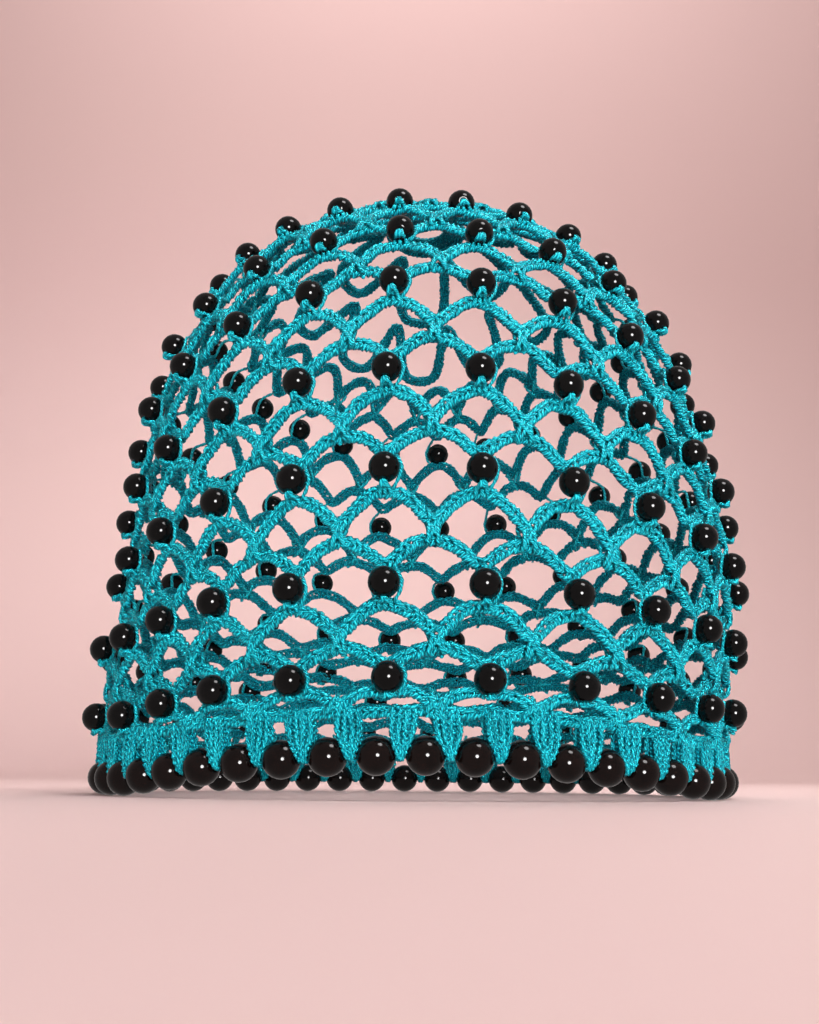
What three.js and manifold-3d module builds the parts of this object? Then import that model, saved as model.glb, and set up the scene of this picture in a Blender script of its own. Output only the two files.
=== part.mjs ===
// Crochet hair snood: an open net cap worked in rounds of arches, from a beaded edging up to the crown.
// Millimetres, +Z up, front towards -Y. It stands on the beads of its rim.
import * as THREE from "three";
import { mergeVertices } from "three/addons/utils/BufferGeometryUtils.js";
import Module from "manifold-3d";

// Driving sizes, in millimetres unless the comment says otherwise
const halfWidth = 92; // middle of the net to its strands, sideways, where it is widest
const halfDepth = 92; // the same, front to back
const netRise = 172; // top of the edging band to the crown
const frontLift = 6; // arch of the rim above the floor at the front
const strandWidth = 4.5; // crocheted strand, measured over the surface of the net
const strandDepth = 2.4; // the same strand, measured through the net
const lapGap = 0.75; // between a round and the next one, where they cross
const crownLapGap = 1.3; // the same, where the crown's longer arches bow away from each other
const seatGap = 0.3; // between pieces that sit on each other
const netBead = 8; // diameter of the beads in the net
const netBeadStand = 4.2; // centre of a net bead, outwards from the middle of the net's strands
const rimBead = 9.5; // diameter of the beads along the rim
const elasticWidth = 1.6; // cord that the rim beads are strung on
const shellHeight = 6.2; // pointed shells between the band and the elastic
const bandHeight = 4.2; // solid row above the shells
const edgingDepth = 3; // shells and band, measured through the edging
const bunchDrop = 3.5; // how far the gather lets the lowest rounds down
const discBreadth = 10; // closing disc of the crown, from its small hole to its edge

// The pattern
const columns = 24; // arches in a round
const columnTurn = THREE.MathUtils.degToRad(1.7); // the first column's turn from the front
const bunchColumn = 19.3; // middle of the gather at the lower left
const bunchSpan = 1.8; // columns from there to where it has faded
const bunchTurn = 0.6; // how far the gather draws the net round, in columns
const beadRows = 7; // every second round ends in a row of beads, up to this one
const knotShare = 0.46; // where the knots lie between two rows of beads, as a share of the step
const beadedRowsHere = 1; // lowest rows of beads that are solids
const beadSides = 10;
const elasticSides = 5;
const netBeadSwell = 1.07; // widens a net bead's corner rings to the round bead's surface
const rimBeadRings = 0.42; // a rim bead's two rings of corners, as a share of its radius from its middle
const rimBeadEnds = 0.97; // the elastic's ends in it, likewise
const footSeat = 0.55; // height of a lowest arch's foot over the band, as a share of strandWidth
const crownInset = 0.3; // width of a halving round's sloping legs, as a share of its spacing
const normalStep = 0.05; // step for working out the way out of a surface

// Levels of the net. Level 0 is the band's top edge, levels 1 to 7 are the rows of beads and the rest
// the crown. Level -1 is the elastic.
// front, side, back: heights above the band, as shares of netRise
// width: share of halfWidth
// fore, aft: reach to the front and back, as shares of halfDepth
// shift: how far the level sits to one side, as a share of halfWidth
// turn: how far the level is turned, in columns
// bunch: how much of the gather at the lower left it takes
const shareNames = ["front", "side", "back", "width", "fore", "aft", "shift", "turn", "bunch"];
const levelRows = [
  [-1, 0, 0, 0, 0.985, 0.965, 0.95, -0.035, 0, 0],
  [0, 0, 0, 0, 0.992, 0.965, 0.965, -0.034, 0.1, 0.9],
  [1, 0.038, 0.042, 0.025, 0.99, 0.962, 0.975, -0.03, 0.1, 1],
  [2, 0.177, 0.143, 0.091, 0.992, 0.941, 0.987, -0.015, 0, 0.8],
  [3, 0.354, 0.242, 0.145, 0.98, 0.905, 0.99, 0.01, -0.11, 0.2],
  [4, 0.517, 0.354, 0.223, 0.963, 0.852, 0.99, 0.008, -0.1, 0],
  [5, 0.673, 0.477, 0.33, 0.93, 0.758, 0.98, -0.005, 0, 0],
  [6, 0.79, 0.61, 0.472, 0.872, 0.614, 0.955, -0.009, 0.06, 0],
  [7, 0.895, 0.77, 0.628, 0.73, 0.4, 0.885, -0.015, 0, 0],
  [8, 0.96, 0.894, 0.772, 0.53, 0.13, 0.745, 0, 0, 0],
  [9, 0.983, 0.963, 0.875, 0.337, -0.05, 0.6, 0, 0, 0],
  [10, 0.996, 0.992, 0.974, 0.141, -0.103, 0.386, 0, 0, 0],
  [11, 0.999, 0.998, 0.99, 0.082, -0.163, 0.326, 0, 0, 0],
];
const crownLevel = beadRows + 1; // last level with an arch for every column
const [discLevel] = levelRows.at(-1); // middle of the disc that closes the crown

const elasticHeight = rimBead / 2;
const shellTip = elasticHeight + elasticWidth / 2 + 2 * seatGap;
const bandBottom = shellTip + shellHeight;
const bandTop = bandBottom + bandHeight;
const lapOffset = (strandDepth + lapGap) / 2;

const levelShares = new THREE.CubicInterpolant(
  levelRows.map(([level]) => level),
  levelRows.flatMap(([, ...shares]) => shares),
  shareNames.length,
);

const yarn = new THREE.MeshStandardMaterial({ color: 0x00a3ad, roughness: 0.6, metalness: 0 });
const blackBead = new THREE.MeshStandardMaterial({ color: 0x0b0909, roughness: 0.12, metalness: 0 });

const wasm = await Module();
wasm.setup();

// Places on the net

function sharesAt(level) {
  const shares = levelShares.evaluate(level);
  return Object.fromEntries(shareNames.map((name, index) => [name, shares[index]]));
}

function columnAngle(column) {
  return columnTurn + (2 * Math.PI * column) / columns;
}

// The rim leaves the floor only over the front third of the way round
function lift(angle) {
  const towardsFront = Math.max(0, 2 * Math.cos(angle) - 1);
  return frontLift * towardsFront ** 1.5;
}

function gather(column) {
  const away = THREE.MathUtils.euclideanModulo(column - bunchColumn + columns / 2, columns) - columns / 2;
  return Math.exp(-((away / bunchSpan) ** 2));
}

function netAngle(level, column) {
  const { turn, bunch } = sharesAt(level);
  return columnAngle(column + turn + bunchTurn * bunch * gather(column));
}

function planPoint(level, angle, height) {
  const { width, fore, aft, shift } = sharesAt(level);
  const x = halfWidth * (shift + width * Math.sin(angle));
  const y = halfDepth * ((aft - fore) / 2 - ((aft + fore) / 2) * Math.cos(angle));
  return new THREE.Vector3(x, y, height);
}

function netPoint(level, column) {
  const angle = netAngle(level, column);
  const { front, side, back, bunch } = sharesAt(level);
  const tilt = (front - back) / 2;
  const bow = (front + back) / 2 - side;
  const share = side + tilt * Math.cos(angle) + (bow * (1 + Math.cos(2 * angle))) / 2;
  const drop = bunchDrop * bunch * gather(column);
  return planPoint(level, angle, bandTop + lift(angle) * (1 - share) + netRise * share - drop);
}

function edgingPoint(height, angle) {
  const level = (height - bandTop) / (bandTop - elasticHeight);
  return planPoint(level, angle, height + lift(angle));
}

// The way out of a surface, from the places a small step to each side
function outward(place, a, b) {
  const along = place(a, b + normalStep).sub(place(a, b - normalStep));
  const upward = place(a + normalStep, b).sub(place(a - normalStep, b));
  return along.cross(upward).normalize();
}

// Meshes

function meshGeometry(corners, triangles) {
  const geometry = new THREE.BufferGeometry();
  const values = corners.flatMap((corner) => corner.toArray());
  geometry.setAttribute("position", new THREE.Float32BufferAttribute(values, 3));
  geometry.setIndex(triangles);
  geometry.computeVertexNormals();
  return geometry;
}

// Triangles between sections of equal size that follow each other round a closed loop
function loopTriangles(sectionCount, sides) {
  const triangles = [];
  for (let section = 0; section < sectionCount; section += 1) {
    const here = section * sides;
    const next = ((section + 1) % sectionCount) * sides;
    for (let side = 0; side < sides; side += 1) {
      const turn = (side + 1) % sides;
      triangles.push(here + side, here + turn, next + turn);
      triangles.push(here + side, next + turn, next + side);
    }
  }
  return triangles;
}

// A closed strand of rectangular section through stations on the net, mitred where it turns
function strandLoop(stations, offset, breadth = strandWidth) {
  const corners = [];
  stations.forEach(({ point, normal }, index) => {
    const before = stations.at(index - 1).point;
    const after = stations[(index + 1) % stations.length].point;
    const leg = after.clone().sub(point).normalize();
    const along = point.clone().sub(before).normalize().add(leg).normalize();
    const out = normal.clone().addScaledVector(along, -normal.dot(along)).normalize();
    const across = out.clone().cross(along);
    const halfAcross = breadth / 2 / along.dot(leg);
    for (const [outSide, acrossSide] of [[1, 1], [1, -1], [-1, -1], [-1, 1]]) {
      const corner = point.clone();
      corner.addScaledVector(out, offset + (outSide * strandDepth) / 2);
      corner.addScaledVector(across, acrossSide * halfAcross);
      corners.push(corner);
    }
  });
  return meshGeometry(corners, loopTriangles(stations.length, 4));
}

function station(level, column) {
  return { point: netPoint(level, column), normal: outward(netPoint, level, column) };
}

// The foot of a lowest arch, which sits on the band
function bandStation(column) {
  const angle = netAngle(0, column);
  const point = edgingPoint(bandTop, angle);
  point.z += seatGap + footSeat * strandWidth;
  return { point, normal: outward(edgingPoint, bandTop, angle) };
}

function toSolid(geometry) {
  const bare = geometry.clone();
  bare.deleteAttribute("normal");
  bare.deleteAttribute("uv");
  const merged = mergeVertices(bare);
  const vertProperties = Float32Array.from(merged.attributes.position.array);
  const triVerts = Uint32Array.from(merged.index.array);
  return new wasm.Manifold(new wasm.Mesh({ numProp: 3, vertProperties, triVerts }));
}

function toGeometry(solid) {
  const mesh = solid.getMesh();
  const geometry = new THREE.BufferGeometry();
  geometry.setAttribute("position", new THREE.Float32BufferAttribute(mesh.vertProperties, 3));
  geometry.setIndex(Array.from(mesh.triVerts));
  geometry.computeVertexNormals();
  return geometry;
}

// The net

// A bead stands outside the net with its hole upright. Its two rings of corners are swelled, so that
// the flat faces between them lie as far out as the round bead's surface.
function netBeadGeometry(level, column) {
  const out = outward(netPoint, level, column);
  const side = new THREE.Vector3(0, 0, 1).cross(out).normalize();
  const hole = out.clone().cross(side);
  const geometry = new THREE.SphereGeometry(netBead / 2, beadSides, 3);
  geometry.scale(netBeadSwell, 1, netBeadSwell);
  const place = new THREE.Matrix4().makeBasis(side, hole, out);
  place.setPosition(netPoint(level, column).addScaledVector(out, netBeadStand));
  return geometry.applyMatrix4(place);
}

// Rounds run foot to peak: knot 0 on the band, bead row 1, knot 1, bead row 2 and so on. A round that
// ends in a row of beads lies outside the one before and the one after it.
function archRound(number) {
  const endsInBeads = number % 2 === 1;
  const row = Math.ceil(number / 2);
  const knotLevel = row + knotShare - (endsInBeads ? 1 : 0);
  const footLevel = endsInBeads ? knotLevel : row;
  const peakLevel = endsInBeads ? row : knotLevel;
  const footColumn = endsInBeads ? 0 : 0.5;
  const stations = [];
  for (let column = footColumn; column < columns; column += 1) {
    stations.push(number === 1 ? bandStation(column) : station(footLevel, column));
    stations.push(station(peakLevel, column + 0.5));
  }
  const geometry = strandLoop(stations, endsInBeads ? lapOffset : -lapOffset);
  if (!endsInBeads || row > beadedRowsHere) {
    return geometry;
  }
  let solid = toSolid(geometry);
  for (let arch = 0; arch < columns; arch += 1) {
    solid = solid.add(toSolid(netBeadGeometry(row, arch + 0.5)));
  }
  return toGeometry(solid);
}

// A round with feet on all the peaks below, spaced a number of columns apart, and one flat peak for
// every two of them. It halves the number of arches.
function halvingRound(footLevel, spacing, offset) {
  const stations = [];
  const firstFoot = spacing / 2;
  for (let column = firstFoot; column < columns; column += 2 * spacing) {
    stations.push(station(footLevel, column));
    stations.push(station(footLevel + 1, column + crownInset * spacing));
    stations.push(station(footLevel + 1, column + (1 - crownInset) * spacing));
    stations.push(station(footLevel, column + spacing));
  }
  return strandLoop(stations, offset);
}

function crownDisc() {
  const stations = [];
  for (let column = 0; column < columns; column += 2) {
    stations.push(station(discLevel, column));
  }
  return strandLoop(stations, -lapOffset, discBreadth);
}

// The edging

// A wall round the rim: its top edge is level, and its lower edge runs down to a shell's tip between
// two rim beads
function edging() {
  const corners = [];
  const stationCount = 4 * columns;
  for (let index = 0; index < stationCount; index += 1) {
    const angle = columnAngle(index / 4);
    const bottom = index % 2 === 1 ? shellTip : bandBottom;
    const out = outward(edgingPoint, bandBottom, angle).setZ(0).normalize();
    for (const [height, outSide] of [[bandTop, 1], [bottom, 1], [bottom, -1], [bandTop, -1]]) {
      corners.push(edgingPoint(height, angle).addScaledVector(out, (outSide * edgingDepth) / 2));
    }
  }
  return meshGeometry(corners, loopTriangles(stationCount, 4));
}

// Rim beads on their elastic. A bead has two rings of corners, turned so that one flat face looks
// straight down, and the elastic between two beads has half as many sides.
function rimString() {
  const corners = [];
  const triangles = [];
  const beadCount = 2 * columns;
  const radius = rimBead / 2;
  const ringRadius = radius / Math.cos(Math.PI / beadSides);
  const sections = [
    { along: -rimBeadEnds * radius, size: elasticWidth / 2, sides: elasticSides },
    { along: -rimBeadRings * radius, size: ringRadius, sides: beadSides },
    { along: rimBeadRings * radius, size: ringRadius, sides: beadSides },
    { along: rimBeadEnds * radius, size: elasticWidth / 2, sides: elasticSides },
  ];
  const beadCorners = sections.reduce((sum, section) => sum + section.sides, 0);
  for (let bead = 0; bead < beadCount; bead += 1) {
    const angle = columnAngle(bead / 2);
    const centre = edgingPoint(elasticHeight, angle);
    const out = outward(edgingPoint, elasticHeight, angle).setZ(0).normalize();
    const alongRim = new THREE.Vector3(0, 0, 1).cross(out);
    for (const { along, size, sides } of sections) {
      const firstTurn = -Math.PI / 2 + (sides === beadSides ? Math.PI / beadSides : 0);
      for (let side = 0; side < sides; side += 1) {
        const turn = firstTurn - (2 * Math.PI * side) / sides;
        const corner = centre.clone().addScaledVector(alongRim, along);
        corner.addScaledVector(out, size * Math.cos(turn));
        corner.z += size * Math.sin(turn);
        corners.push(corner);
      }
    }
    const first = bead * beadCorners;
    const lowRing = first + elasticSides;
    const highRing = lowRing + beadSides;
    const end = highRing + beadSides;
    const nextBead = ((bead + 1) % beadCount) * beadCorners;
    for (let side = 0; side < elasticSides; side += 1) {
      const turn = (side + 1) % elasticSides;
      const [a, b, c] = [2 * side, 2 * side + 1, (2 * side + 2) % beadSides];
      triangles.push(first + side, lowRing + b, lowRing + a);
      triangles.push(first + side, first + turn, lowRing + b);
      triangles.push(first + turn, lowRing + c, lowRing + b);
      triangles.push(end + side, highRing + a, highRing + b);
      triangles.push(end + side, highRing + b, end + turn);
      triangles.push(end + turn, highRing + b, highRing + c);
      triangles.push(end + side, end + turn, nextBead + turn);
      triangles.push(end + side, nextBead + turn, nextBead + side);
    }
    for (let side = 0; side < beadSides; side += 1) {
      const turn = (side + 1) % beadSides;
      triangles.push(lowRing + side, lowRing + turn, highRing + turn);
      triangles.push(lowRing + side, highRing + turn, highRing + side);
    }
  }
  return meshGeometry(corners, triangles);
}

// The whole snood

function piece(name, geometry, material) {
  const mesh = new THREE.Mesh(geometry, material);
  mesh.name = name;
  return mesh;
}

const snood = new THREE.Group();
snood.add(piece("rim_bead_string", rimString(), blackBead));
snood.add(piece("shell_edging", edging(), yarn));
const roundCount = 2 * beadRows + 1;
for (let number = 1; number <= roundCount; number += 1) {
  snood.add(piece(`round_${String(number).padStart(2, "0")}`, archRound(number), yarn));
}
snood.add(piece("crown_round_1", halvingRound(crownLevel, 1, lapOffset - strandDepth - crownLapGap), yarn));
snood.add(piece("crown_round_2", halvingRound(crownLevel + 1, 2, lapOffset), yarn));
snood.add(piece("crown_disc", crownDisc(), yarn));

// The origin is the middle of the footprint, on the floor
const extent = new THREE.Box3().setFromObject(snood);
const middle = extent.getCenter(new THREE.Vector3());
snood.position.set(-middle.x, -middle.y, -extent.min.z);

export default snood;
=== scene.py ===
"""A crochet hair snood: every round of its net as plaited yarn, with beads, shell edging and a beaded rim.

Metres, +Z up, front towards -Y. The net's surface follows the same table of levels as the solids.
"""
import math

import bpy
import numpy as np
from mathutils import Matrix, Vector


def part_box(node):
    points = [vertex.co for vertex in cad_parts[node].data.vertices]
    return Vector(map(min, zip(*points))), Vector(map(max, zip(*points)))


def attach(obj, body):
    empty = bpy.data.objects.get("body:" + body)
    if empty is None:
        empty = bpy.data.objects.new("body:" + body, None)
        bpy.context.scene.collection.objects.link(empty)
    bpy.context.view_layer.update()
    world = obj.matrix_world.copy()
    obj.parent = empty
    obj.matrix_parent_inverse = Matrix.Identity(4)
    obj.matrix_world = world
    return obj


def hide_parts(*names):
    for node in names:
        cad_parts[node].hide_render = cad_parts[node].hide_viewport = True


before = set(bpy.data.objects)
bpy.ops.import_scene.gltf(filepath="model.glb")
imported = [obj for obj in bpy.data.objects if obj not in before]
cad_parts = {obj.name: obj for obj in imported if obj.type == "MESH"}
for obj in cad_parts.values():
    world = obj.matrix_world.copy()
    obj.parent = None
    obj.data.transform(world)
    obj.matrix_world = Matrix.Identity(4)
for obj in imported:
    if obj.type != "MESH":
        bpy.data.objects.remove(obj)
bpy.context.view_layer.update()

MM = 0.001
rng = np.random.default_rng(24)

# Sizes of the net, as in the solids
HALF_WIDTH = 92 * MM
HALF_DEPTH = 92 * MM
NET_RISE = 172 * MM
FRONT_LIFT = 6 * MM
BUNCH_DROP = 3.5 * MM
RIM_BEAD = 9.5 * MM
NET_BEAD = 8 * MM
ELASTIC_HEIGHT = RIM_BEAD / 2
ELASTIC = 0.8 * MM  # radius
BAND_BOTTOM = 12.35 * MM
BAND_TOP = 16.55 * MM
COLUMNS = 24
COLUMN_TURN = math.radians(1.7)  # from the front to column 0
BUNCH_COLUMN = 19.3  # middle of the gather at the lower left
BUNCH_SPAN = 1.8  # its reach, in columns
BUNCH_TURN = 0.6  # how far it pulls the columns aside
BEAD_ROWS = 7
KNOT_SHARE = 0.46  # where the knots lie on the way from one row of beads to the next

# Levels of the net: 0 is the band's top edge, 1 to 7 the rows of beads, the rest the crown, -1 the elastic
# Front to back are shares of the rise, width to shift of the half width or depth, and turn is in columns
SHARE_NAMES = ("front", "side", "back", "width", "fore", "aft", "shift", "turn", "bunch")
LEVEL_ROWS = (
    (-1, 0, 0, 0, 0.985, 0.965, 0.95, -0.035, 0, 0),
    (0, 0, 0, 0, 0.992, 0.965, 0.965, -0.034, 0.1, 0.9),
    (1, 0.038, 0.042, 0.025, 0.99, 0.962, 0.975, -0.03, 0.1, 1),
    (2, 0.177, 0.143, 0.091, 0.992, 0.941, 0.987, -0.015, 0, 0.8),
    (3, 0.354, 0.242, 0.145, 0.98, 0.905, 0.99, 0.01, -0.11, 0.2),
    (4, 0.517, 0.354, 0.223, 0.963, 0.852, 0.99, 0.008, -0.1, 0),
    (5, 0.673, 0.477, 0.33, 0.93, 0.758, 0.98, -0.005, 0, 0),
    (6, 0.79, 0.61, 0.472, 0.872, 0.614, 0.955, -0.009, 0.06, 0),
    (7, 0.895, 0.77, 0.628, 0.73, 0.4, 0.885, -0.015, 0, 0),
    (8, 0.96, 0.894, 0.772, 0.53, 0.13, 0.745, 0, 0, 0),
    (9, 0.983, 0.963, 0.875, 0.337, -0.05, 0.6, 0, 0, 0),
    (10, 0.996, 0.992, 0.974, 0.141, -0.103, 0.386, 0, 0, 0),
    (11, 0.999, 0.998, 0.99, 0.082, -0.163, 0.326, 0, 0, 0),
)

# Yarn
YARN = 1.3 * MM  # one yarn
SECTION_TURN = 8  # points along a yarn in which its section turns once
PLAIT_PITCH = 8.6 * MM  # length in which a plait's pattern repeats
PLAIT_REACH = 1.32 * MM  # middle of the plait to the middle of its outermost yarn, over the net
SLIM_REACH = 1.02 * MM  # the same in the lowest round
PLAIT_DEPTH = 0.66 * MM  # the same, through the net
PLAIT_YARNS = 5
STEPS_PER_PITCH = 12
YARN_SIDES = 4
PLIES = 4  # plies in a yarn, twisted once round it in LAY
LAY = 3.1 * MM

# How the rounds lie, in steps between two rows of beads
PEAK_DROP = 0.18  # peak of the arches under a row of beads
LOW_PEAK_DROP = 0.23  # the same in the lowest round, where a step is short
FOOT_RISE = 0.165  # feet over a row of beads
KNOT_HALF = 0.045  # peak and feet of the two rounds that meet in a knot
BAND_FOOT = -0.06  # feet of the lowest round over the band's top edge
LAP = 0.7 * MM  # how far every second round lies out from the net's surface, and the rest in
BEAD_STAND = 3.7 * MM  # centre of a bead, outwards from the net's surface
TOP_BEAD_STAND = 2.3 * MM  # the same in the top row
HOLE_LEANS = (0.1, 0.14, 0.26, 0.36, 0.42, 0.42, 0.42)  # how far a bead's hole leans out, for each row
TOP_SAG = 1.3 * MM  # how far the beads of the two top rows hang down the net
BEAD_HOLE = 0.085  # radius of a bead's hole, as a share of the bead's diameter

# The band, with a plait of its own, and the fans of the edging
BAND_REACH = 1.2 * MM
BAND_PITCH = 8 * MM
BAND_DEPTH = 0.8 * MM
BAND_CENTRE = BAND_TOP - 1.3 * MM
FAN_TOP = BAND_CENTRE - 0.4 * MM
FAN_TIP = ELASTIC_HEIGHT - 0.7 * MM
FAN_WIDTH = 8.3 * MM
FAN_NECK = 0.14  # share of its width that a fan loses at its top
TIP_WIDTH = 2.1 * MM
FAN_POSTS = 4
FAN_LEAN = 0.65 * MM  # usual sideways shift of a fan's top from its tip
PAD_MARGIN = 0.5 * MM  # from a fan's edge to the pad inside it
# Painted shade of the pad: darker, as it lies deep between the fan's two layers of posts
PAD_PAINTED_SHADE = 0.3
POST_YARN = 0.6 * MM  # radius of the two yarns twisted into a post
POST_TWIST = (0.5 * MM, 0.42 * MM)  # how far they swing, sideways and outwards
POST_MARGIN = 0.95 * MM  # from a fan's edge to its outermost post

# A post's points: share of the way from the fan's tip to the band, and distance out
POST_SHARES = np.array([1.12, 0.9, 0.62, 0.32, 0.1, -0.03])
POST_STANDS = np.array([0.5, 1.05, 1.35, 1.7, 1.75, 0.5]) * MM

# The yarns at a bead: a fork under it, and a thread beside it
FORK_YARN = 0.48 * YARN  # radius
LOW_FORK_DROP = 0.9 * MM  # how far the lowest row's forks end under the arches' peaks
THREAD = 0.55 * MM  # radius
THREAD_GAP = 0.42 * MM  # from the bead's surface to the middle of the thread
THREAD_SINK = 1.6 * MM  # how much nearer to the net it lies at the sides than at the front
LEFT_THREADS = 0.45  # sine of the angle round the net from which it runs on the bead's left

# The stitches of a knot
KNOT_TALL = 2.7 * MM
LOW_KNOT_TALL = 2.4 * MM
KNOT_STAND = 1.65  # mm, from the net's surface

# A stitch's points: shares of its lean, of its height and of its distance from the net
KNOT_BEND = ((-1, -1.15, 0.35), (-0.6, -0.6, 0.9), (0, 0, 1), (0.6, 0.6, 0.9), (1, 1.15, 0.35))

# Each stitch: the net's outer (1) or inner (-1) face, its lean and its place to the side, both in mm
KNOT_YARNS = (
    (1, 2.1, 0.1),
    (1, -1.9, -0.1),
    (1, 0.6, -1.1),
    (1, -0.3, 1.2),
    (-1, 1.6, 0.3),
    (-1, -1.6, -0.3),
)

CAMERA_PLACE = (-1.97 * MM, -423.63 * MM, 6.7 * MM)
CAMERA_PITCH = math.radians(10.68)
CAMERA_ROLL = math.radians(0.46)
CAMERA_LENS = 48.62
CAMERA_SENSOR = 36

# Colours
# The yarn's colours: dark for painted shade, plain, and light for the painted highlight on ply ridges and
# on yarns lying on top
YARN_DARK = (0, 0.062, 0.11)
YARN_PLAIN = (0, 0.29, 0.39)
YARN_LIGHT = (0.03, 0.68, 0.76)
YARN_SHINE = (0.1, 0.9, 1, 1)
YARN_SHEEN = (0.1, 0.8, 0.9, 1)
NET_BEAD_BLACK = (0.001, 0.0009, 0.0009)
RIM_BEAD_BLACK = (0.0026, 0.0012, 0.001)
BEAD_IOR = 1.31
ELASTIC_DARK = (0.006, 0.005, 0.005)
ELASTIC_LIGHT = (0.03, 0.026, 0.026)
PAPER = (0.755, 0.54, 0.52, 1)
WORLD_COLOUR = (1, 0.92, 0.9, 1)
SPOT_COLOUR = (1, 0.99, 0.98)
KEY_COLOUR = (1, 0.98, 0.97)
WASH_COLOUR = (1, 0.97, 0.96)

WORLD_STRENGTH = 0.39
KEY_PLACE = (0.4, -0.42, 1.13)
KEY_SIZE = 0.44

# The stage: a floor with a wall behind, and a curve between them
STAGE_HALF = 8.0  # half its width, and its reach to the front
STAGE_BACK = 1.7
STAGE_CURVE = 0.8
STAGE_TOP = 4.0
STAGE_STEPS = 16


# The net's surface

def padded_rows():
    """The table with one more row at each end, carried on in a straight line."""
    rows = np.array(LEVEL_ROWS, float)
    return np.vstack([2 * rows[0] - rows[1], rows, 2 * rows[-1] - rows[-2]])


PADDED = padded_rows()


def cubic(before, here, after, beyond, p):
    """The curve from here to after at share p, smooth through the points on both sides."""
    bend = 2 * before - 5 * here + 4 * after - beyond
    twist = 3 * (here - after) + beyond - before
    return here + p / 2 * (after - before + p * (bend + p * twist))


def shares_at(level):
    """Each named share at these levels, on a cubic through the table's rows."""
    level = np.asarray(level, float)
    last = len(LEVEL_ROWS) - 2
    row = np.clip(np.floor(level - LEVEL_ROWS[0][0]).astype(int), 0, last)
    p = (level - LEVEL_ROWS[0][0] - row)[..., None]
    values = cubic(*(PADDED[row + k][..., 1:] for k in range(4)), p)
    return {name: values[..., index] for index, name in enumerate(SHARE_NAMES)}


def column_angle(column):
    return COLUMN_TURN + 2 * math.pi * column / COLUMNS


def lift(angle):
    return FRONT_LIFT * np.maximum(0, 2 * np.cos(angle) - 1) ** 1.5


def gather(column):
    away = (column - BUNCH_COLUMN + COLUMNS / 2) % COLUMNS - COLUMNS / 2
    return np.exp(-((away / BUNCH_SPAN) ** 2))


def plan_point(share, angle, height):
    x = HALF_WIDTH * (share["shift"] + share["width"] * np.sin(angle))
    reach = (share["aft"] + share["fore"]) / 2
    y = HALF_DEPTH * ((share["aft"] - share["fore"]) / 2 - reach * np.cos(angle))
    return np.stack([x, y, height], -1)


def net_place(level, column):
    """Points of the net's surface, before the part's origin is taken off."""
    level, column = np.broadcast_arrays(np.asarray(level, float), np.asarray(column, float))
    share = shares_at(level)
    pull = share["bunch"] * gather(column)
    angle = column_angle(column + share["turn"] + BUNCH_TURN * pull)
    tilt = (share["front"] - share["back"]) / 2
    bow = (share["front"] + share["back"]) / 2 - share["side"]
    rise = share["side"] + tilt * np.cos(angle) + bow * (1 + np.cos(2 * angle)) / 2
    height = BAND_TOP + lift(angle) * (1 - rise) + NET_RISE * rise - BUNCH_DROP * pull
    return plan_point(share, angle, height)


def edging_place(height, angle):
    """Points of the edging, before the part's origin is taken off."""
    height, angle = np.broadcast_arrays(np.asarray(height, float), np.asarray(angle, float))
    level = (height - BAND_TOP) / (BAND_TOP - ELASTIC_HEIGHT)
    return plan_point(shares_at(level), angle, height + lift(angle))


def origin_shift():
    """The part's origin, found by setting the ring of rim beads against its solid."""
    centres = edging_place(ELASTIC_HEIGHT, column_angle(np.arange(2 * COLUMNS) / 2))
    low, high = (np.array(corner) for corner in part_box("rim_bead_string"))
    shift = (low + high) / 2 - (centres.min(0) + centres.max(0)) / 2
    return np.array([shift[0], shift[1], 0])


ORIGIN = origin_shift()


def net_point(level, column):
    return net_place(level, column) + ORIGIN


def edging_point(height, angle):
    return edging_place(height, angle) + ORIGIN


def unit(vectors):
    return vectors / np.linalg.norm(vectors, axis=-1, keepdims=True)


def outward(place, a, b, step_a, step_b):
    along = place(a, b + step_b) - place(a, b - step_b)
    upward = place(a + step_a, b) - place(a - step_a, b)
    return unit(np.cross(along, upward))


def net_normal(level, column):
    return outward(net_place, np.asarray(level, float), np.asarray(column, float), 0.05, 0.05)


def edging_normal(height, angle):
    normal = outward(edging_place, np.asarray(height, float), np.asarray(angle, float), MM, 0.01)
    normal[..., 2] = 0
    return unit(normal)


# Meshes

class Mesh:
    """Vertices with painted shade, dark 0 deep in the work to light 1 on top, quads with their places on
    the yarn, and end caps.
    """

    def __init__(self):
        self.points, self.painted_shades = [], []
        self.quads, self.maps, self.caps = [], [], []
        self.count = 0

    def add_rings(self, rings, turns, lengths, painted_shades, closed):
        """rings: sections, each of the same number of points, that follow each other along a yarn."""
        count, sides = rings.shape[:2]
        last = count if closed else count - 1
        i = np.arange(last)[:, None]
        j = np.arange(sides)[None, :]
        near, far = i * sides, (i + 1) % count * sides
        side, next_side = j, (j + 1) % sides
        quads = np.stack([near + side, near + next_side, far + next_side, far + side], -1)
        u0 = turns[i] + j / sides
        u1 = turns[i] + (j + 1) / sides
        step = turns[1] - turns[0]
        v0 = np.broadcast_to(lengths[i], u0.shape)
        gaps = np.diff(lengths, append=2 * lengths[-1] - lengths[-2])
        v1 = np.broadcast_to(lengths[i] + gaps[i], u0.shape)
        maps = np.stack([u0, v0, u1, v0, u1 + step, v1, u0 + step, v1], -1).reshape(last, sides, 4, 2)
        self.points.append(rings.reshape(-1, 3))
        self.quads.append(quads.reshape(-1, 4) + self.count)
        self.maps.append(maps.reshape(-1, 2))
        self.painted_shades.append(np.repeat(painted_shades, sides) if np.ndim(painted_shades) == 1 else np.ravel(painted_shades))
        self.count += count * sides

    def add_cap(self, first, sides, tip, painted_shade):
        """Closes an end with a point."""
        self.points.append(np.array(tip)[None, :])
        corner = first + np.arange(sides)
        self.caps.append(np.stack([corner, np.roll(corner, -1), np.full(sides, self.count)], -1))
        self.painted_shades.append(np.array([painted_shade]))
        self.count += 1


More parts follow.
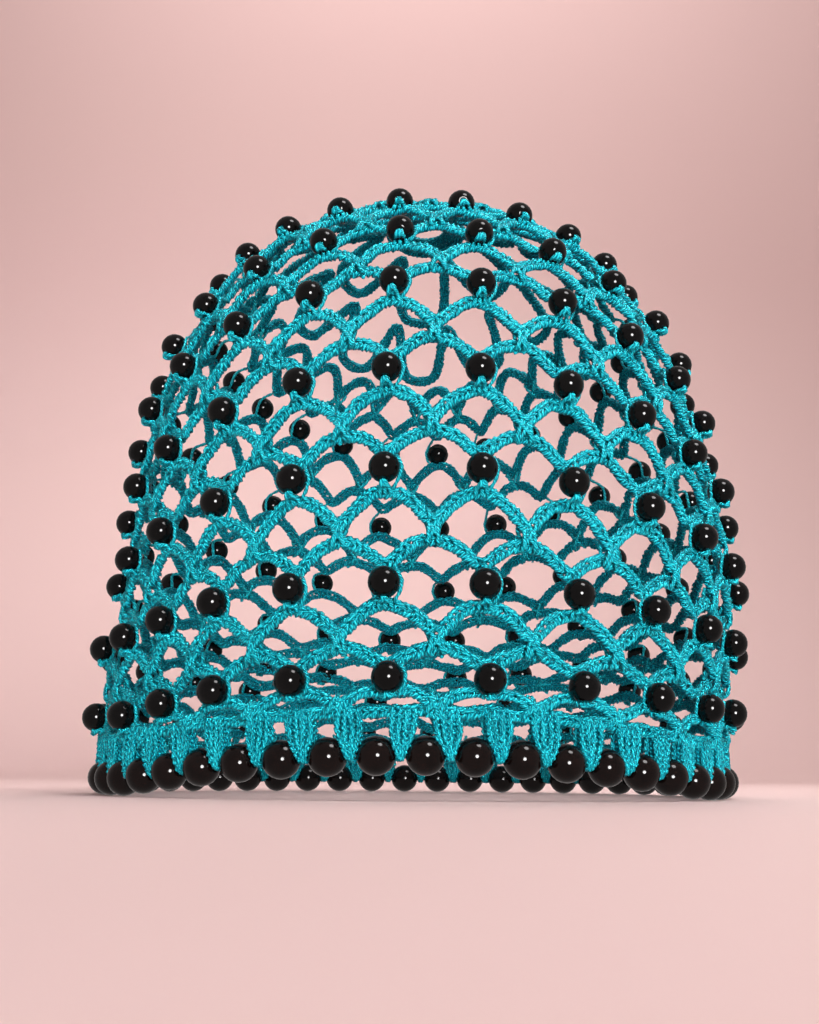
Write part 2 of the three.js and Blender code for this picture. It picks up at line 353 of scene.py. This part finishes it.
def frames_along(centre, normal, closed):
    """Tangent, outward and sideways unit vectors at each point of a line."""
    if closed:
        tangent = unit(np.roll(centre, -1, 0) - np.roll(centre, 1, 0))
    else:
        tangent = unit(np.gradient(centre, axis=0))
    out = unit(normal - (normal * tangent).sum(-1, keepdims=True) * tangent)
    return tangent, out, np.cross(out, tangent)


def add_yarn(mesh, centre, normal, radius, painted_shades, closed, sides=YARN_SIDES):
    """A twisted yarn along a line. normal, radius and the painted shade (lighter where the yarn lies on
    top, darker where it lies deep) may be one for all points or one for each.
    """
    tangent, out, across = frames_along(centre, normal, closed)
    count = len(centre)
    turn = np.arange(count) / SECTION_TURN
    angle = 2 * math.pi * (turn[:, None] + np.arange(sides)[None, :] / sides)
    radius = np.broadcast_to(radius, count).astype(float)
    ring = np.cos(angle)[..., None] * out[:, None, :] + np.sin(angle)[..., None] * across[:, None, :]
    rings = centre[:, None, :] + radius[:, None, None] * ring
    steps = np.linalg.norm(np.diff(centre, axis=0), axis=1)
    lengths = np.concatenate([[0], np.cumsum(steps)]) + rng.random() * 0.1
    first = mesh.count
    mesh.add_rings(rings, turn, lengths, np.broadcast_to(painted_shades, count).astype(float), closed)
    if not closed:
        cap_reach = 0.35 * radius[0]
        mesh.add_cap(first, sides, centre[0] - tangent[0] * cap_reach, float(np.ravel(painted_shades)[0]))
        last = first + (count - 1) * sides
        mesh.add_cap(last, sides, centre[-1] + tangent[-1] * cap_reach, float(np.ravel(painted_shades)[-1]))
        mesh.caps[-2] = mesh.caps[-2][:, [1, 0, 2]]


def make_object(name, mesh, material, slot_name, *nodes):
    """The Blender object of a mesh, which stands for these solids."""
    points = np.concatenate(mesh.points)
    quads = np.concatenate(mesh.quads)
    caps = np.concatenate(mesh.caps) if mesh.caps else np.zeros((0, 3), int)
    data = bpy.data.meshes.new(name)
    data.vertices.add(len(points))
    data.vertices.foreach_set("co", points.astype(np.float32).ravel())
    corners = np.concatenate([quads.ravel(), caps.ravel()])
    data.loops.add(len(corners))
    data.loops.foreach_set("vertex_index", corners.astype(np.int32))
    sizes = np.concatenate([np.full(len(quads), 4), np.full(len(caps), 3)])
    starts = np.concatenate([[0], np.cumsum(sizes)[:-1]])
    data.polygons.add(len(sizes))
    data.polygons.foreach_set("loop_start", starts.astype(np.int32))
    data.polygons.foreach_set("use_smooth", np.ones(len(sizes), bool))
    data.update(calc_edges=True)
    maps = np.concatenate([np.concatenate(mesh.maps), np.zeros((caps.size, 2))])
    layer = data.uv_layers.new(name="yarn")
    layer.uv.foreach_set("vector", maps.astype(np.float32).ravel())
    # Painted shade of each point, read by the yarn's colour: lighter where a yarn lies on top, darker deep
    # in the work
    painted_shade = data.attributes.new("painted_shade", "FLOAT", "POINT")
    painted_shade.data.foreach_set("value", np.concatenate(mesh.painted_shades).astype(np.float32))
    data.materials.append(material)
    obj = bpy.data.objects.new(name, data)
    bpy.context.scene.collection.objects.link(obj)
    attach(obj, "root")
    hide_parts(*nodes)


# Materials

def new_material(name):
    material = bpy.data.materials.new(name)
    material.use_nodes = True
    tree = material.node_tree
    shader = tree.nodes["Principled BSDF"]
    return material, tree, shader


def math_node(tree, operation, *inputs):
    node = tree.nodes.new("ShaderNodeMath")
    node.operation = operation
    for index, value in enumerate(inputs):
        if isinstance(value, (int, float)):
            node.inputs[index].default_value = value
        else:
            tree.links.new(value, node.inputs[index])
    return node.outputs[0]


def noise(tree, scale, detail=2):
    """Fine noise that stays with the object."""
    coordinates = tree.nodes.new("ShaderNodeTexCoord")
    node = tree.nodes.new("ShaderNodeTexNoise")
    node.inputs["Scale"].default_value = scale
    node.inputs["Detail"].default_value = detail
    tree.links.new(coordinates.outputs["Object"], node.inputs["Vector"])
    return node.outputs["Fac"]


def add_bump(tree, shader, height, distance, strength=1):
    node = tree.nodes.new("ShaderNodeBump")
    node.inputs["Strength"].default_value = strength
    node.inputs["Distance"].default_value = distance
    tree.links.new(height, node.inputs["Height"])
    tree.links.new(node.outputs[0], shader.inputs["Normal"])


def colour_ramp(tree, factor, *stops):
    node = tree.nodes.new("ShaderNodeValToRGB")
    elements = node.color_ramp.elements
    while len(elements) < len(stops):
        elements.new(0.5)
    for element, (position, colour) in zip(elements, stops):
        element.position = position
        element.color = (*colour, 1)
    tree.links.new(factor, node.inputs["Fac"])
    return node.outputs["Color"]


def yarn_material():
    """Mercerised cotton: shiny twisted plies, with painted shade in the grooves between them and deep in
    the plait, and a painted highlight on their ridges.
    """
    material, tree, shader = new_material("crochet_yarn")
    place = tree.nodes.new("ShaderNodeUVMap")
    place.uv_map = "yarn"
    parts = tree.nodes.new("ShaderNodeSeparateXYZ")
    tree.links.new(place.outputs[0], parts.inputs[0])
    along = math_node(tree, "MULTIPLY", parts.outputs["Y"], PLIES / LAY)
    round_it = math_node(tree, "MULTIPLY", parts.outputs["X"], PLIES)
    phase = math_node(tree, "MULTIPLY", math_node(tree, "SUBTRACT", along, round_it), 2 * math.pi)
    wave = math_node(tree, "SINE", phase)
    ply = math_node(tree, "POWER", math_node(tree, "MULTIPLY_ADD", wave, 0.5, 0.5), 1.4)
    fibres = noise(tree, 2400)
    patches = noise(tree, 210, detail=3)
    painted_shade = tree.nodes.new("ShaderNodeAttribute")
    painted_shade.attribute_name = "painted_shade"
    # Painted shade: darker where a yarn lies deep in the plait or under other yarns
    deep = math_node(tree, "MULTIPLY_ADD", painted_shade.outputs["Fac"], 0.42, -0.16)
    # Painted shade in the grooves between the plies and a painted highlight on their ridges, added to the
    # shade above
    grooved = math_node(tree, "MULTIPLY_ADD", ply, 0.62, deep)
    mottled = math_node(tree, "MULTIPLY_ADD", patches, 0.2, grooved)
    speckled = math_node(tree, "MULTIPLY_ADD", fibres, 0.12, mottled)
    # The ramp runs from the yarn in painted shade, through its plain colour, to its painted highlight; the
    # noise mottling is the yarn's own
    colour = colour_ramp(tree, speckled, (0.05, YARN_DARK), (0.48, YARN_PLAIN), (0.95, YARN_LIGHT))
    tree.links.new(colour, shader.inputs["Base Color"])
    rough = math_node(tree, "MULTIPLY_ADD", fibres, 0.25, 0.3)
    tree.links.new(rough, shader.inputs["Roughness"])
    shader.inputs["Specular IOR Level"].default_value = 0.5
    shader.inputs["Specular Tint"].default_value = YARN_SHINE
    shader.inputs["Sheen Weight"].default_value = 0.06
    shader.inputs["Sheen Tint"].default_value = YARN_SHEEN
    shader.inputs["Sheen Roughness"].default_value = 0.4
    add_bump(tree, shader, math_node(tree, "MULTIPLY_ADD", fibres, 0.25, ply), 0.22 * MM)
    return material


def bead_material(name, tint):
    """Black glass-like bead, with faint clouds in the black and fine scuffs."""
    material, tree, shader = new_material(name)
    lighter = tuple(2.2 * part for part in tint)
    colour = colour_ramp(tree, noise(tree, 260, detail=4), (0.3, tint), (0.75, lighter))
    tree.links.new(colour, shader.inputs["Base Color"])
    scuffs = noise(tree, 1500, detail=6)
    rough = math_node(tree, "MULTIPLY_ADD", scuffs, 0.08, 0.04)
    tree.links.new(rough, shader.inputs["Roughness"])
    shader.inputs["IOR"].default_value = BEAD_IOR
    add_bump(tree, shader, scuffs, 0.05 * MM, strength=0.06)
    return material


def elastic_material():
    material, tree, shader = new_material("elastic_cord")
    weave = noise(tree, 1800)
    colour = colour_ramp(tree, weave, (0.3, ELASTIC_DARK), (0.7, ELASTIC_LIGHT))
    tree.links.new(colour, shader.inputs["Base Color"])
    shader.inputs["Roughness"].default_value = 0.7
    add_bump(tree, shader, weave, 0.1 * MM)
    return material


# Plaits

def smooth_closed(values, reach):
    """A running mean with soft ends, round a closed line. reach is in samples."""
    span = np.arange(-3 * reach, 3 * reach + 1)
    weights = np.exp(-0.5 * (span / max(reach, 1)) ** 2)
    weights /= weights.sum()
    return sum(weight * np.roll(values, shift, 0) for weight, shift in zip(weights, span))


def ripple(count, waves, size):
    """Slow random swings along a closed line."""
    place = np.arange(count) / count
    total = np.zeros(count)
    for wave in rng.integers(waves[0], waves[1], 6):
        total += np.sin(2 * math.pi * (wave * place + rng.random())) / math.sqrt(6)
    return size * total


def arch_line(number, samples=40):
    """Levels, columns and lap of a round's middle line, with arches from foot to foot."""
    ends_in_beads = number % 2 == 1
    row = (number + 1) // 2
    if ends_in_beads:
        foot = BAND_FOOT if number == 1 else row - 1 + KNOT_SHARE + KNOT_HALF
        peak = row - (LOW_PEAK_DROP if number == 1 else PEAK_DROP)
        first = 0
    else:
        foot = row + FOOT_RISE
        peak = row + KNOT_SHARE - KNOT_HALF
        first = 0.5
    way = np.arange(COLUMNS * samples) / samples
    within = way % 1
    height = 1 - np.abs(2 * within - 1) ** (4 if number == 1 else 2)
    level = foot + (peak - foot) * height
    return level, first + way, LAP if ends_in_beads else -LAP


def spread_evenly(points, normals, count):
    """The same closed line with its points a constant distance apart."""
    points = np.vstack([points, points[:1]])
    normals = np.vstack([normals, normals[:1]])
    steps = np.linalg.norm(np.diff(points, axis=0), axis=1)
    reached = np.concatenate([[0], np.cumsum(steps)])
    wanted = np.linspace(0, reached[-1], count, endpoint=False)
    even = np.stack([np.interp(wanted, reached, points[:, k]) for k in range(3)], -1)
    even_normals = np.stack([np.interp(wanted, reached, normals[:, k]) for k in range(3)], -1)
    return even, unit(even_normals)


def line_length(points):
    return np.linalg.norm(np.roll(points, -1, 0) - points, axis=1).sum()


def add_plait(mesh, centre, normal, reach=PLAIT_REACH, depth=PLAIT_DEPTH, pitch=PLAIT_PITCH):
    """Five yarns plaited round a closed line, in a herringbone on both faces."""
    repeats = max(3, round(line_length(centre) / pitch))
    centre, normal = spread_evenly(centre, normal, repeats * STEPS_PER_PITCH)
    _, out, across = frames_along(centre, normal, True)
    count = len(centre)
    place = 2 * math.pi * np.arange(count) / STEPS_PER_PITCH
    width = reach * (1 + ripple(count, (30, 130), 0.09))
    for yarn in range(PLAIT_YARNS):
        phase = place + 2 * math.pi * yarn / PLAIT_YARNS + ripple(count, (40, 200), 0.3)
        sideways = width * np.sin(phase)
        raised = -depth * np.sin(2 * phase) * (1 + ripple(count, (60, 200), 0.2))
        line = centre + across * sideways[:, None] + out * raised[:, None]
        # Painted shade: lighter where a yarn rises over the others, darker where it dips under them, with a
        # little random variation
        painted_shades = 0.5 + 0.5 * raised / depth + rng.normal(0, 0.06, count)
        size = YARN / 2 * (1 + ripple(count, (40, 160), 0.05))
        add_yarn(mesh, line, out, size, painted_shades, True)


def round_centre(number):
    """A round's middle line in space, with its outward directions."""
    level, column, lap = arch_line(number)
    point = net_point(level, column)
    normal = net_normal(level, column)
    count = len(point)
    point = point + normal * (lap + ripple(count, (24, 70), 0.25 * MM))[:, None]
    point[:, 2] += ripple(count, (30, 80), 0.3 * MM)
    return smooth_closed(point, 2), unit(smooth_closed(normal, 2))


def net_round(number, material):
    mesh = Mesh()
    centre, normal = round_centre(number)
    add_plait(mesh, centre, normal, reach=SLIM_REACH if number == 1 else PLAIT_REACH)
    add_knots(mesh, number)
    make_object(f"round_{number:02d}_yarn", mesh, material, "crochet_yarn", f"round_{number:02d}")


def arc_through(points, count):
    """A smooth line through a few points."""
    points = np.array(points)
    knots = np.concatenate([[0], np.cumsum(np.linalg.norm(np.diff(points, axis=0), axis=1))])
    places = np.linspace(0, knots[-1], count)
    padded = np.vstack([2 * points[0] - points[1], points, 2 * points[-1] - points[-2]])
    piece = np.clip(np.searchsorted(knots, places, side="right") - 1, 0, len(points) - 2)
    p = ((places - knots[piece]) / (knots[piece + 1] - knots[piece]))[:, None]
    return cubic(*(padded[piece + k] for k in range(4)), p)


def local_axes(level, column):
    """A point of the net with its sideways, upward and outward directions."""
    point = net_point(level, column)
    out = net_normal(level, column)
    up = unit(net_point(level + 0.05, column) - net_point(level - 0.05, column))
    up = unit(up - (up * out).sum() * out)
    return point, np.cross(up, out), up, out


def add_knots(mesh, number):
    """The stitches that hold a round's feet: short yarns over and round the peak of the round below."""
    if number % 2 == 0:
        return
    level = (number - 1) // 2 + (0 if number == 1 else KNOT_SHARE)
    for column in range(COLUMNS):
        point, side, up, out = local_axes(level, column)
        step = np.linalg.norm(net_point(level + 0.5, column) - net_point(level - 0.5, column))
        tall = LOW_KNOT_TALL if number == 1 else min(KNOT_TALL, 0.12 * step)
        for face, lean, place in KNOT_YARNS:
            slant = (lean + rng.normal(0, 0.35)) * MM
            across = (place + rng.normal(0, 0.2)) * MM
            out_by = face * (KNOT_STAND + rng.normal(0, 0.12)) * MM
            sideways = side * across + rng.normal(0, 0.25) * MM * up
            line = arc_through([
                point + sideways + side * slant * aside + up * tall * rise + out * out_by * stand
                for aside, rise, stand in KNOT_BEND
            ], 9)
            # Painted light: the knot's yarns are shaded as lying on top
            add_yarn(mesh, line, out, YARN / 2, 0.85, False)


# Beads

def bead_profile(radius, hole, steps):
    """Half section of a drilled bead, from one end of its hole round the outside and back through it."""
    start = math.asin(hole / radius)
    angles = np.linspace(start, math.pi - start, steps)
    outside = [(radius * math.sin(angle), radius * math.cos(angle)) for angle in angles]
    inner = 0.82 * hole
    return np.array([(inner, 0.9 * outside[0][1])] + outside + [(inner, 0.9 * outside[-1][1])])


def add_bead(mesh, centre, hole_way, out, diameter, around=20, steps=11):
    """A drilled bead with its hole along hole_way."""
    side = np.cross(out, hole_way)
    radius = diameter / 2
    profile = bead_profile(radius, BEAD_HOLE * diameter, steps)
    turn = 2 * math.pi * np.arange(around) / around
    ring = np.cos(turn)[:, None] * out + np.sin(turn)[:, None] * side
    rings = centre + profile[:, 0, None, None] * ring[None] + profile[:, 1, None, None] * hole_way
    count = len(profile)
    mesh.add_rings(rings[::-1], np.zeros(count), np.linspace(0, 1, count), np.zeros(count), True)


def bead_axes(row, column):
    """Where a bead of the net sits, with its hole leaning out at the bottom."""
    point, side, up, out = local_axes(row, column)
    lean = HOLE_LEANS[row - 1]
    hole = unit(up - lean * out)
    stand = TOP_BEAD_STAND if row == BEAD_ROWS else BEAD_STAND
    sag = TOP_SAG if row >= BEAD_ROWS - 1 else 0
    return point + out * stand - up * sag, side, hole, unit(out + lean * up)


def beaded_round(row):
    """The node of the round that carries a row of beads."""
    return f"round_{2 * row - 1:02d}"


def bead_row(row, material):
    mesh = Mesh()
    for arch in range(COLUMNS):
        centre, _, hole, out = bead_axes(row, arch + 0.5)
        add_bead(mesh, centre, hole, out, NET_BEAD)
    make_object(f"net_beads_row_{row}", mesh, material, "black_bead", beaded_round(row))


def arch_peak(row, column):
    """The peak of the arch under a bead, with its upward and outward directions."""
    point, _, up, out = local_axes(row - (LOW_PEAK_DROP if row == 1 else PEAK_DROP), column)
    return point, up, out


def add_fork(mesh, row, column):
    """Three yarns out of a bead's hole, round its underside and onto the arch."""
    centre, side, hole, out = bead_axes(row, column)
    peak, up, face = arch_peak(row, column)
    radius = NET_BEAD / 2
    low = LOW_FORK_DROP if row == 1 else 0
    foot = peak - up * low + face * LAP
    under = unit(0.6 * HOLE_LEANS[row - 1] * face - up)
    for spread in (-1, 0, 1):
        apart = side * (spread + rng.normal(0, 0.08)) * MM
        line = arc_through([
            centre - hole * radius * 0.7,
            centre - hole * (radius + 0.25 * MM) + apart * 0.45,
            centre + under * (radius + 0.75 * MM) + apart * 0.8,
            foot + apart * 1.25 + face * (1.95 - 0.2 * spread ** 2) * MM + up * 0.2 * MM,
            foot + apart * 1.7 + face * 1.1 * MM - up * (1.3 * MM - 0.6 * low),
        ], 10)
        # Painted light: the fork's yarns are shaded as lying on top
        add_yarn(mesh, line, out, FORK_YARN, 0.85, False, sides=5)


def add_thread(mesh, row, column):
    """A thread from the arch, close round the bead's side, to the round above."""
    centre, side, _, out = bead_axes(row, column)
    peak, up, face = arch_peak(row, column)
    reach = NET_BEAD / 2 + THREAD_GAP
    above = net_point(row + FOOT_RISE, column) - face * LAP
    aside = math.sin(column_angle(column))
    beside = -side if aside > LEFT_THREADS else side
    sunk = THREAD_SINK * abs(aside)
    line = arc_through([
        above + beside * 1.5 * MM,
        centre + beside * reach * 0.74 + up * reach * 0.66 - face * (0.6 * MM + sunk),
        centre + beside * (reach * 0.99 - 0.35 * sunk) + up * reach * 0.05 - face * (0.8 * MM + sunk),
        centre + beside * reach * 0.76 - up * reach * 0.66 - face * (1.1 * MM + sunk),
        peak + beside * 1.9 * MM + face * (LAP + 1.0 * MM) + up * 0.2 * MM,
    ], 12)
    # Painted light: the thread is shaded as lying on top
    add_yarn(mesh, line, out, THREAD, 0.8, False)


def bead_stitches(row, material):
    """The yarns that hold a row of beads."""
    mesh = Mesh()
    for arch in range(COLUMNS):
        add_fork(mesh, row, arch + 0.5)
        add_thread(mesh, row, arch + 0.5)
    make_object(f"bead_stitches_row_{row}", mesh, material, "crochet_yarn", beaded_round(row))


# The crown

def halving_round(name, foot_level, spacing, material):
    """A closing round with half as many arches as the one before, each spacing columns wide."""
    samples = 24
    spans = COLUMNS // (2 * spacing)
    way = np.arange(spans * 2 * samples) / samples
    within = way % 2
    swing = np.sin(math.pi * within)
    height = np.where(within < 1, np.maximum(swing, 0) ** 1.25, -0.05 * swing ** 2)
    level = foot_level + height * 0.92
    column = spacing / 2 + way * spacing
    point = net_point(level, column) + net_normal(level, column) * -0.3 * MM
    mesh = Mesh()
    add_plait(mesh, smooth_closed(point, 3), net_normal(level, column))
    make_object(f"{name}_yarn", mesh, material, "crochet_yarn", name)


def crown_disc(material):
    mesh = Mesh()
    column = np.arange(0, COLUMNS, 0.25)
    for ring in (10.1, 10.75, 11):
        level = np.full(len(column), ring)
        add_plait(mesh, net_point(level, column), net_normal(level, column))
    make_object("crown_disc_yarn", mesh, material, "crochet_yarn", "crown_disc")


# The edging

def edging_band(material):
    """The solid row over the shells."""
    mesh = Mesh()
    angle = column_angle(np.arange(COLUMNS * 24) / 24)
    height = np.full(len(angle), BAND_CENTRE) + ripple(len(angle), (30, 70), 0.25 * MM)
    normal = edging_normal(height, angle)
    add_plait(mesh, edging_point(height, angle), normal, BAND_REACH, BAND_DEPTH, BAND_PITCH)
    make_object("edging_band", mesh, material, "crochet_yarn", "shell_edging")


def fan_half_width(share):
    """Half the width of a fan, from its tip at 0 to the band at 1."""
    spread = 1 - (1 - share) ** 2.2
    return (TIP_WIDTH + (FAN_WIDTH - TIP_WIDTH) * spread) * (1 - FAN_NECK * share ** 4) / 2


def add_fan_filling(mesh, angle, width, lean):
    """The pad inside a fan, from the band to the tip, between its two layers of posts."""
    steps, sides = 7, 10
    turn = 2 * math.pi * np.arange(sides) / sides
    rings = []
    for share in np.linspace(0.02, 1.08, steps):
        height = FAN_TIP + (FAN_TOP - FAN_TIP) * share
        out = edging_normal(height, angle)
        along = np.cross([0, 0, 1], out)
        half = fan_half_width(min(share, 1)) * width - PAD_MARGIN
        thick = (1.2 - 0.45 * share) * MM
        centre = edging_point(height, angle) + along * lean * share
        rings.append(centre + np.outer(half * np.cos(turn), along) + np.outer(thick * np.sin(turn), out))
    rings = np.array(rings)
    first = mesh.count
    turns = np.arange(steps) / SECTION_TURN
    # The pad is painted darker, as painted shade
    mesh.add_rings(rings, turns, np.linspace(0, 11 * MM, steps), np.full(steps, PAD_PAINTED_SHADE), False)
    mesh.add_cap(first, sides, rings[0].mean(0), PAD_PAINTED_SHADE)
    mesh.add_cap(first + (steps - 1) * sides, sides, rings[-1].mean(0), PAD_PAINTED_SHADE)


def edging_shells(material):
    """Pointed fans of stitches between the band and the elastic, with a tip between every two rim beads."""
    mesh = Mesh()
    heights = FAN_TIP + (FAN_TOP - FAN_TIP) * POST_SHARES
    for shell in range(2 * COLUMNS):
        angle = column_angle((shell + 0.5) / 2)
        width = 1 + rng.normal(0, 0.06)
        lean = rng.normal(0, FAN_LEAN)
        add_fan_filling(mesh, angle, width, lean)
        out = edging_normal(BAND_BOTTOM, angle)
        along = np.cross([0, 0, 1], out)
        middle = edging_point(heights, np.full(len(heights), angle)) + np.outer(POST_SHARES * lean, along)
        reach = fan_half_width(np.clip(POST_SHARES, 0, 1)) * width - POST_MARGIN
        for layer in (1, -1):
            for post in range(FAN_POSTS):
                spread = 2 * post / (FAN_POSTS - 1) - 1 + rng.normal(0, 0.04)
                aside = spread * reach + rng.normal(0, 0.14 * MM, len(POST_SHARES))
                line = arc_through(middle + np.outer(aside, along) + np.outer(layer * POST_STANDS, out), 17)
                strand = np.arange(len(line)) / 4.0 + rng.random()
                for half in (0, 0.5):
                    turn = 2 * math.pi * (strand + half)
                    swing = along * (POST_TWIST[0] * np.cos(turn))[:, None]
                    swing = swing + out * (POST_TWIST[1] * np.sin(turn))[:, None]
                    # Painted shade: a yarn is lighter where it swings to its layer's outer face and darker
                    # where it swings in toward the pad
                    painted_shades = 0.6 + 0.35 * layer * np.sin(turn)
                    add_yarn(mesh, line + swing, out, POST_YARN, painted_shades, False)
    make_object("edging_shells", mesh, material, "crochet_yarn", "shell_edging")


def rim_beads(material):
    mesh = Mesh()
    for bead in range(2 * COLUMNS):
        angle = column_angle(bead / 2)
        centre = edging_point(ELASTIC_HEIGHT, angle)
        out = edging_normal(ELASTIC_HEIGHT, angle)
        along = np.cross([0, 0, 1], out)
        add_bead(mesh, centre, along, out, RIM_BEAD, around=24, steps=13)
    make_object("rim_beads", mesh, material, "black_bead", "rim_bead_string")


def rim_elastic(material):
    mesh = Mesh()
    angle = column_angle(np.arange(COLUMNS * 8) / 8)
    height = np.full(len(angle), ELASTIC_HEIGHT)
    add_yarn(mesh, edging_point(height, angle), edging_normal(height, angle), ELASTIC, 0.5, True, sides=8)
    make_object("rim_elastic", mesh, material, "black_bead", "rim_bead_string")


# Stage, camera and lights

def stage_surface():
    """A pale floor that curves up into a backdrop."""
    curve_start = STAGE_BACK - STAGE_CURVE
    profile = [(-STAGE_HALF, 0.0), (curve_start, 0.0)]
    for step in range(1, STAGE_STEPS + 1):
        turn = math.pi / 2 * step / STAGE_STEPS
        profile.append((curve_start + STAGE_CURVE * math.sin(turn), STAGE_CURVE * (1 - math.cos(turn))))
    profile.append((STAGE_BACK, STAGE_TOP))
    points = [(x, y, z) for y, z in profile for x in (-STAGE_HALF, STAGE_HALF)]
    faces = [(2 * i, 2 * i + 1, 2 * i + 3, 2 * i + 2) for i in range(len(profile) - 1)]
    data = bpy.data.meshes.new("backdrop")
    data.from_pydata(points, [], faces)
    for polygon in data.polygons:
        polygon.use_smooth = True
    material, _, shader = new_material("pale_paper")
    shader.inputs["Base Color"].default_value = PAPER
    shader.inputs["Roughness"].default_value = 0.9
    data.materials.append(material)
    obj = bpy.data.objects.new("backdrop", data)
    bpy.context.scene.collection.objects.link(obj)
    obj.visible_glossy = False


def area_light(name, place, target, size, power, colour, in_gloss=True, in_diffuse=True, spread=180):
    data = bpy.data.lights.new(name, "AREA")
    data.shape = "DISK"
    data.size = size
    data.energy = power
    data.spread = math.radians(spread)
    data.color = colour
    obj = bpy.data.objects.new(name, data)
    obj.location = place
    obj.rotation_euler = (Vector(target) - Vector(place)).to_track_quat("-Z", "Y").to_euler()
    obj.visible_camera = False
    obj.visible_glossy = in_gloss
    obj.visible_diffuse = in_diffuse
    bpy.context.scene.collection.objects.link(obj)


def lights():
    """Each light: its place, what it faces, its size, its power in watts and its colour."""
    middle = (0, 0, 0.09)
    area_light("front_spot", (0.39, -2.1, 0.15), middle, 0.7, 2.8, SPOT_COLOUR, spread=30)
    area_light("back_spot", (0.38, 1.55, 0.5), middle, 0.6, 1.8, SPOT_COLOUR, in_gloss=False, spread=40)
    area_light("key_top_right", KEY_PLACE, middle, KEY_SIZE, 6.4, KEY_COLOUR)
    area_light("key_glint", KEY_PLACE, middle, KEY_SIZE, 20, KEY_COLOUR, in_diffuse=False)
    area_light("backdrop_wash", (0, 1.0, 1.9), (0, 1.7, 0.5), 1.0, 12.5, WASH_COLOUR, in_gloss=False)
    world = bpy.data.worlds.new("studio")
    world.use_nodes = True
    background = world.node_tree.nodes["Background"]
    background.inputs["Color"].default_value = WORLD_COLOUR
    background.inputs["Strength"].default_value = WORLD_STRENGTH
    bpy.context.scene.world = world


def camera():
    data = bpy.data.cameras.new("camera")
    data.sensor_width = CAMERA_SENSOR
    data.lens = CAMERA_LENS
    data.clip_start = 0.01
    obj = bpy.data.objects.new("camera", data)
    look = Matrix.Rotation(math.pi / 2 + CAMERA_PITCH, 4, "X") @ Matrix.Rotation(CAMERA_ROLL, 4, "Z")
    obj.matrix_world = Matrix.Translation(CAMERA_PLACE) @ look
    bpy.context.scene.collection.objects.link(obj)
    bpy.context.scene.camera = obj


camera()
lights()
stage_surface()
bpy.context.scene.view_settings.view_transform = "Standard"

yarn = yarn_material()
net_black = bead_material("net_bead_black", NET_BEAD_BLACK)
rim_black = bead_material("rim_bead_black", RIM_BEAD_BLACK)

for number in range(1, 2 * BEAD_ROWS + 2):
    net_round(number, yarn)
for row in range(1, BEAD_ROWS + 1):
    bead_row(row, net_black)
    bead_stitches(row, yarn)
halving_round("crown_round_1", BEAD_ROWS + 1, 1, yarn)
halving_round("crown_round_2", BEAD_ROWS + 2, 2, yarn)
crown_disc(yarn)
edging_band(yarn)
edging_shells(yarn)
rim_beads(rim_black)
rim_elastic(elastic_material())
